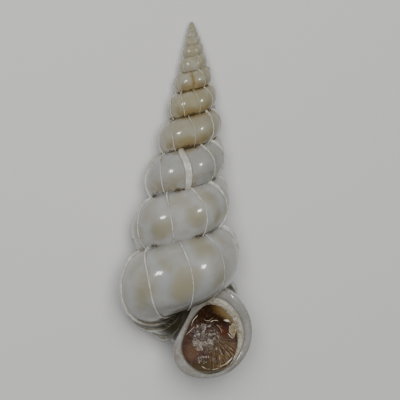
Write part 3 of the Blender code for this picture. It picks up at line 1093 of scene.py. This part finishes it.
# The slivers: torn skin and loose fibres of the dried lid. A pale scrap has lifted at the
# right, thin pale splinters cross the top and left, and golden fibres fan out below it.
SLIVER_SIDES = 6
SLIVER_STEPS = 10
SLIVER_FLATNESS = 0.35
SLIVER_WANDER = 0.08
SLIVER_GAP = 0.02
SCRAP_STATIONS = 48
SCRAP_RINGS = 6
SCRAP_TEAR = 0.40
SCRAP_GAP = 0.05
SCRAP_THICKNESS = 0.035
SLIVER_PATCHES = 2300.0
SKIN_CREAM = (0.42, 0.36, 0.24, 1.0)
SKIN_WHITE = (0.58, 0.54, 0.44, 1.0)
GOLD_DARK = (0.105, 0.078, 0.042, 1.0)
GOLD_PALE = (0.24, 0.19, 0.115, 1.0)
SLIVERS = [
    ([(-0.15, 1.80), (0.30, 2.02), (0.75, 1.98)], 0.055, 0.10, 0.0),
    ([(1.30, 2.02), (1.70, 1.98), (2.05, 1.78)], 0.095, 0.16, 0.0),
    ([(1.75, 0.55), (2.10, 0.15), (2.45, -0.05)], 0.060, 0.12, 0.0),
    ([(2.35, 1.65), (2.62, 1.10), (2.55, 0.55)], 0.050, 0.14, 0.1),
    ([(-2.70, 0.35), (-2.30, 0.75), (-1.80, 1.30)], 0.028, 0.10, 0.0),
    ([(-1.45, 2.55), (-1.90, 2.00), (-2.15, 1.30)], 0.038, 0.08, 0.0),
    ([(-0.90, 2.10), (-0.35, 1.95), (0.25, 2.35)], 0.022, 0.10, 0.1),
    ([(0.55, 1.55), (0.95, 1.15), (1.15, 0.55)], 0.030, 0.08, 0.2),
    ([(0.35, -0.75), (0.95, -1.60), (1.25, -2.45)], 0.030, 0.07, 1.0),
    ([(0.70, -0.45), (1.45, -1.30), (2.05, -1.80)], 0.034, 0.08, 1.0),
    ([(0.90, -0.20), (1.75, -0.85), (2.40, -1.20)], 0.026, 0.07, 1.0),
    ([(0.55, -0.95), (1.30, -1.85), (1.85, -2.45)], 0.026, 0.07, 0.8),
    ([(1.25, -0.30), (2.00, -0.55), (2.62, -0.60)], 0.024, 0.06, 0.9),
    ([(0.90, -3.10), (1.60, -2.75), (2.25, -2.10)], 0.070, 0.14, 0.1),
    ([(0.10, -0.90), (0.40, -1.90), (0.55, -2.90)], 0.024, 0.06, 1.0),
    ([(-1.05, -3.05), (-0.60, -3.30), (-0.10, -3.38)], 0.050, 0.08, 0.5),
    ([(0.05, -3.40), (0.45, -3.35), (0.80, -3.22)], 0.040, 0.10, 0.3),
]
SCRAP = (2.28, 0.92, 0.40, 0.72, 0.06)


def sliver_material():
    material, net, shader = new_material("torn_skin")
    patches = noise_wire(net, SLIVER_PATCHES, 4.0, 0.6)
    share = between(patches, 0.38, 0.62)
    golden = net.mix(share, GOLD_DARK, GOLD_PALE)
    layers = [(share, SKIN_WHITE), (attribute(net, "golden"), golden)]
    paint(net, shader, patches * 0.3 + 0.15, SKIN_CREAM, layers)
    return material


def make_slivers():
    ground = surface_of(lid_ground)
    middle = lid_middle()

    def on_lid(x, z):
        start = Vector((middle.x + x * MM, middle.y - 3.0 * MM, middle.z + z * MM))
        hit = ground.ray_cast(start, Vector((0.0, 1.0, 0.0)))[0]
        return hit or Vector((start.x, middle.y, start.z))

    work = bmesh.new()
    golden = work.verts.layers.float.new("golden")

    def gild(rows, golds):
        for row, gold in zip(skin(work, rows, (0, -1)), golds):
            for vertex in row:
                vertex[golden] = gold

    for number, (knots, width, lift, gold) in enumerate(SLIVERS):
        path = curve_through(knots, SLIVER_STEPS)
        rows = []
        for index, place_on in enumerate(path):
            share = index / (len(path) - 1)
            wave = noise.noise(Vector((share * 3.0, number * 2.3, 0.0)))
            middle_point = on_lid(place_on.x + wave * SLIVER_WANDER, place_on.y)
            ahead = path[min(index + 1, len(path) - 1)] - path[max(index - 1, 0)]
            across = Vector((-ahead.y, 0.0, ahead.x)).normalized()
            taper = (math.sin(math.pi * min(0.97, max(0.03, share))) ** 0.6) * (1.0 + wave)
            rise = (lift * math.sin(math.pi * share) + SLIVER_GAP) * MM
            row = []
            for side in range(SLIVER_SIDES):
                turn = math.tau * side / SLIVER_SIDES
                out = across * math.cos(turn) * width * taper * MM
                thick = math.sin(turn) * SLIVER_FLATNESS * width * taper * MM
                row.append(middle_point + out + Vector((0.0, thick - rise, 0.0)))
            rows.append(row)
        gild(rows, [gold] * len(rows))
    x, z, half_width, half_height, lift = SCRAP
    rows = []
    golds = []
    under = [(ring, 0) for ring in range(1, SCRAP_RINGS + 1)]
    over = [(ring, 1) for ring in range(SCRAP_RINGS, 0, -1)]
    for ring, front in under + over:
        share = ring / SCRAP_RINGS
        golds.append(1.0 - 0.55 * share ** 6)
        row = []
        for station in range(SCRAP_STATIONS):
            turn = math.tau * station / SCRAP_STATIONS
            edge = Vector((math.cos(turn) * 1.3, math.sin(turn) * 1.3, 3.0))
            torn = 1.0 + SCRAP_TEAR * noise.fractal(edge, 0.6, 2.2, 5) + 0.06 * math.cos(4.0 * turn)
            here_x = x + half_width * share * torn * math.cos(turn)
            here_z = z + half_height * share * torn * math.sin(turn)
            curl = lift * (0.5 - 0.5 * math.cos(turn)) * share * share
            curl += 0.03 * noise.noise(Vector((here_x * 4, here_z * 4, 0.0)))
            rise = (SCRAP_GAP + curl + SCRAP_THICKNESS * front) * MM
            row.append(on_lid(here_x, here_z) - Vector((0.0, rise, 0.0)))
        rows.append(row)
    gild(rows, golds)
    mesh = finished(work, "slivers")
    mesh.materials.append(sliver_material())
    return mesh


slivers = add_piece("slivers", make_slivers())


# The floor, the light and the camera: a plain pale surface, two small lamps on either side of
# the lens, a wide soft one over the base, and a long lens that looks down on the mouth side.
FLOOR_COLOUR = (0.60, 0.595, 0.58, 1.0)
FLOOR_HALF = 0.6
SKY_COLOUR = (0.8, 0.85, 0.9, 1.0)
SKY_STRENGTH = 0.08
PHOTO_PIXEL = 38.0 * MM / 356.0
PHOTO_WIDTH = 400
LENS = 300.0
SENSOR = 36.0
VIEW_TILT = 5.44
CENTRE_RIGHT = 0.865 * MM
CENTRE_DOWN = 19.19 * MM
LAMP_DISTANCE = 0.4
LAMPS = {
    "left_lamp": ((-0.72, 0.66, 0.205), 0.085, 0.045, 0.40),
    "right_lamp": ((0.645, 0.745, 0.16), 0.060, 0.045, 0.32),
}
WIDE_LAMP = ((0.04, 1.0, 0.10), 0.20, 0.20, 2.1)


def make_floor():
    mesh = bpy.data.meshes.new("floor")
    corners = [(x * FLOOR_HALF, y * FLOOR_HALF, 0.0) for x, y in ((-1, -1), (1, -1), (1, 1), (-1, 1))]
    mesh.from_pydata(corners, [], [(0, 1, 2, 3)])
    material, net, shader = new_material("pale_floor")
    paint(net, shader, 0.9, FLOOR_COLOUR)
    mesh.materials.append(material)
    floor = bpy.data.objects.new("floor", mesh)
    bpy.context.scene.collection.objects.link(floor)


def view_axes():
    """Right, towards the viewer and up in the picture, in the frame the shell lies in."""
    tilt = math.radians(VIEW_TILT)
    turn = LYING.to_3x3()
    right = turn @ Vector((1.0, 0.0, 0.0))
    back = turn @ Vector((0.0, -math.cos(tilt), math.sin(tilt)))
    up = turn @ Vector((0.0, math.sin(tilt), math.cos(tilt)))
    return right, back, up


def look_from(right, back, up, target, direction, distance):
    """A place and turn for a camera or lamp that faces the target."""
    towards = (right * direction[0] + back * direction[1] + up * direction[2]).normalized()
    side = up.cross(towards).normalized()
    top = towards.cross(side)
    turn = Matrix((side, top, towards)).transposed().to_4x4()
    return Matrix.Translation(target + towards * distance) @ turn


def make_view():
    right, back, up = view_axes()
    target = LYING @ Vector((CENTRE_RIGHT, 0.0, -CENTRE_DOWN))
    lens = bpy.data.cameras.new("camera")
    lens.lens = LENS
    lens.sensor_width = SENSOR
    lens.clip_start = 0.01
    camera = bpy.data.objects.new("camera", lens)
    distance = PHOTO_PIXEL * PHOTO_WIDTH * LENS / SENSOR
    camera.matrix_world = look_from(right, back, up, target, (0.0, 1.0, 0.0), distance)
    bpy.context.scene.collection.objects.link(camera)
    bpy.context.scene.camera = camera
    for name, (direction, width, height, power) in (LAMPS | {"wide_lamp": WIDE_LAMP}).items():
        light = bpy.data.lights.new(name, "AREA")
        light.shape = "RECTANGLE"
        light.size = width
        light.size_y = height
        light.energy = power
        lamp = bpy.data.objects.new(name, light)
        lamp.matrix_world = look_from(right, back, up, target, direction, LAMP_DISTANCE)
        lamp.visible_glossy = name in LAMPS
        lamp.visible_diffuse = name not in LAMPS
        bpy.context.scene.collection.objects.link(lamp)
    world = bpy.data.worlds.new("studio")
    world.use_nodes = True
    sky = world.node_tree.nodes["Background"].inputs
    sky["Color"].default_value = SKY_COLOUR
    sky["Strength"].default_value = SKY_STRENGTH
    world.cycles_visibility.glossy = False
    bpy.context.scene.world = world


make_floor()
make_view()
